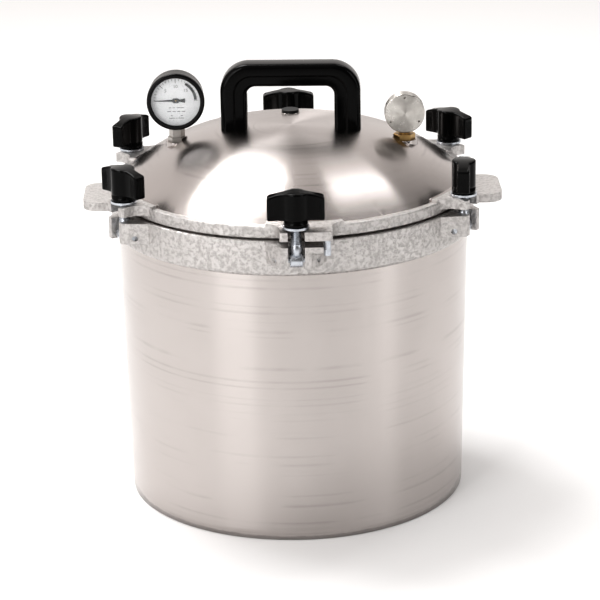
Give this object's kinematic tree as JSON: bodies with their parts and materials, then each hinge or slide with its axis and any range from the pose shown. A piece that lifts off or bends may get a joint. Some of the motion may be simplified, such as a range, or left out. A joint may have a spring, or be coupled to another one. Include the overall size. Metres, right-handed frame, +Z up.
{
  "type": "pressure canner",
  "caption": "Cast aluminium pressure canner: tapered pot with side grips, domed lid with arch handle, swing bolt clamps with wing nuts, dial gauge and regulator weight.",
  "frame": {"origin": "on the floor under the middle of the pot", "axes": "+Z up along the pot axis; -Y is the front, where the lid's stop lug is; the cast side grips lie along X, with the gauge on -X and the weight on +X"},
  "size_m": [0.385, 0.3734, 0.4054],
  "materials": {
    "turned_aluminium": "satin, lathe turned",
    "sheet_aluminium": "rolled sheet",
    "zinc_steel": "bright zinc plate",
    "turned_steel": "turned face",
    "black_phenolic": "gloss moulded",
    "black_enamel": "gloss enamel",
    "brass": "machined",
    "glass": "clear",
    "dial_white": "matt",
    "black_rubber": "matt",
    "spring_steel": "bright"
  },
  "bodies": {
    "pot": {"pot": "turned_aluminium", "pivot_pins": "zinc_steel"},
    "rack": {"canning_rack": "sheet_aluminium"},
    "bolt_f": {"swing_bolt_f": "zinc_steel"},
    "washer_f": {"washer_f": "zinc_steel"},
    "nut_f": {"wing_nut_f": "black_phenolic", "nut_insert_f": "brass"},
    "bolt_fr": {"swing_bolt_fr": "zinc_steel"},
    "washer_fr": {"washer_fr": "zinc_steel"},
    "nut_fr": {"wing_nut_fr": "black_phenolic", "nut_insert_fr": "brass"},
    "bolt_br": {"swing_bolt_br": "zinc_steel"},
    "washer_br": {"washer_br": "zinc_steel"},
    "nut_br": {"wing_nut_br": "black_phenolic", "nut_insert_br": "brass"},
    "bolt_b": {"swing_bolt_b": "zinc_steel"},
    "washer_b": {"washer_b": "zinc_steel"},
    "nut_b": {"wing_nut_b": "black_phenolic", "nut_insert_b": "brass"},
    "bolt_bl": {"swing_bolt_bl": "zinc_steel"},
    "washer_bl": {"washer_bl": "zinc_steel"},
    "nut_bl": {"wing_nut_bl": "black_phenolic", "nut_insert_bl": "brass"},
    "bolt_fl": {"swing_bolt_fl": "zinc_steel"},
    "washer_fl": {"washer_fl": "zinc_steel"},
    "nut_fl": {"wing_nut_fl": "black_phenolic", "nut_insert_fl": "brass"},
    "lid": {"lid": "turned_aluminium", "stop_pin": "zinc_steel", "lid_handle": "black_phenolic", "handle_screws": "zinc_steel", "handle_washers": "zinc_steel", "gauge_stem": "brass", "gauge_case": "black_enamel", "gauge_bezel": "black_enamel", "gauge_glass": "glass", "gauge_dial": "dial_white", "bourdon_tube": "brass", "movement_plates": "brass", "hairspring": "spring_steel", "vent_pipe": "brass", "overpressure_plug": "black_rubber"},
    "pointer": {"gauge_pointer": "black_enamel", "pointer_arbor": "brass"},
    "sector": {"sector_gear": "brass"},
    "link": {"gauge_link": "brass"},
    "weight": {"regulator_weight": "turned_steel"}
  },
  "joints": [
    {"name": "swing_f", "type": "hinge", "parent": "pot", "child": "bolt_f", "pos_m": [0, -0.175, 0.2726], "axis": [1, 0, 0], "range_deg": [0, 150]},
    {"name": "washer_slide_f", "type": "slide", "parent": "bolt_f", "child": "washer_f", "axis": [0, 0, 1], "range_m": [0, 0.0128]},
    {"name": "nut_turn_f", "type": "hinge", "parent": "washer_f", "child": "nut_f", "pos_m": [0, -0.175, 0.3039], "axis": [0, 0, 1], "range_deg": [0, 2880]},
    {"name": "swing_fr", "type": "hinge", "parent": "pot", "child": "bolt_fr", "pos_m": [0.15155, -0.0875, 0.2726], "axis": [0.5, 0.866, 0], "range_deg": [0, 150]},
    {"name": "washer_slide_fr", "type": "slide", "parent": "bolt_fr", "child": "washer_fr", "axis": [0, 0, 1], "range_m": [0, 0.0128]},
    {"name": "nut_turn_fr", "type": "hinge", "parent": "washer_fr", "child": "nut_fr", "pos_m": [0.15155, -0.0875, 0.3039], "axis": [0, 0, 1], "range_deg": [0, 2880]},
    {"name": "swing_br", "type": "hinge", "parent": "pot", "child": "bolt_br", "pos_m": [0.15155, 0.0875, 0.2726], "axis": [-0.5, 0.866, 0], "range_deg": [0, 150]},
    {"name": "washer_slide_br", "type": "slide", "parent": "bolt_br", "child": "washer_br", "axis": [0, 0, 1], "range_m": [0, 0.0128]},
    {"name": "nut_turn_br", "type": "hinge", "parent": "washer_br", "child": "nut_br", "pos_m": [0.15155, 0.0875, 0.3039], "axis": [0, 0, 1], "range_deg": [0, 2880]},
    {"name": "swing_b", "type": "hinge", "parent": "pot", "child": "bolt_b", "pos_m": [0, 0.175, 0.2726], "axis": [-1, 0, 0], "range_deg": [0, 150]},
    {"name": "washer_slide_b", "type": "slide", "parent": "bolt_b", "child": "washer_b", "axis": [0, 0, 1], "range_m": [0, 0.0128]},
    {"name": "nut_turn_b", "type": "hinge", "parent": "washer_b", "child": "nut_b", "pos_m": [0, 0.175, 0.3039], "axis": [0, 0, 1], "range_deg": [0, 2880]},
    {"name": "swing_bl", "type": "hinge", "parent": "pot", "child": "bolt_bl", "pos_m": [-0.15155, 0.0875, 0.2726], "axis": [-0.5, -0.866, 0], "range_deg": [0, 150]},
    {"name": "washer_slide_bl", "type": "slide", "parent": "bolt_bl", "child": "washer_bl", "axis": [0, 0, 1], "range_m": [0, 0.0128]},
    {"name": "nut_turn_bl", "type": "hinge", "parent": "washer_bl", "child": "nut_bl", "pos_m": [-0.15155, 0.0875, 0.3039], "axis": [0, 0, 1], "range_deg": [0, 2880]},
    {"name": "swing_fl", "type": "hinge", "parent": "pot", "child": "bolt_fl", "pos_m": [-0.15155, -0.0875, 0.2726], "axis": [0.5, -0.866, 0], "range_deg": [0, 150]},
    {"name": "washer_slide_fl", "type": "slide", "parent": "bolt_fl", "child": "washer_fl", "axis": [0, 0, 1], "range_m": [0, 0.0128]},
    {"name": "nut_turn_fl", "type": "hinge", "parent": "washer_fl", "child": "nut_fl", "pos_m": [-0.15155, -0.0875, 0.3039], "axis": [0, 0, 1], "range_deg": [0, 2880]},
    {"name": "lid_lift", "type": "slide", "parent": "pot", "child": "lid", "axis": [0, 0, 1], "range_m": [0, 0.36]},
    {"name": "rack_lift", "type": "slide", "parent": "pot", "child": "rack", "axis": [0, 0, 1], "range_m": [0, 0.25]},
    {"name": "weight_lift", "type": "slide", "parent": "lid", "child": "weight", "axis": [0, 0, 1], "range_m": [0, 0.04]},
    {"name": "pointer_turn", "type": "hinge", "parent": "lid", "child": "pointer", "pos_m": [-0.10498, 0.00183, 0.37257], "axis": [0, 1, 0], "range_deg": [0, 180], "stiffness_Nm_per_rad": 0.0001},
    {"name": "sector_turn", "type": "hinge", "parent": "lid", "child": "sector", "pos_m": [-0.10498, 0.00183, 0.35907], "axis": [0, -1, 0], "range_deg": [0, 22.5]},
    {"name": "link_turn", "type": "hinge", "parent": "sector", "child": "link", "pos_m": [-0.10498, 0.00183, 0.35307], "axis": [0, 1, 0], "range_deg": [0, 22.5]}
  ],
  "couplings": [
    {"joint": "washer_slide_f", "follows": "nut_turn_f", "m_per_rad": 0.00025266},
    {"joint": "washer_slide_fr", "follows": "nut_turn_fr", "m_per_rad": 0.00025266},
    {"joint": "washer_slide_br", "follows": "nut_turn_br", "m_per_rad": 0.00025266},
    {"joint": "washer_slide_b", "follows": "nut_turn_b", "m_per_rad": 0.00025266},
    {"joint": "washer_slide_bl", "follows": "nut_turn_bl", "m_per_rad": 0.00025266},
    {"joint": "washer_slide_fl", "follows": "nut_turn_fl", "m_per_rad": 0.00025266},
    {"joint": "sector_turn", "follows": "pointer_turn", "ratio": 0.125},
    {"joint": "link_turn", "follows": "pointer_turn", "ratio": 0.125}
  ]
}
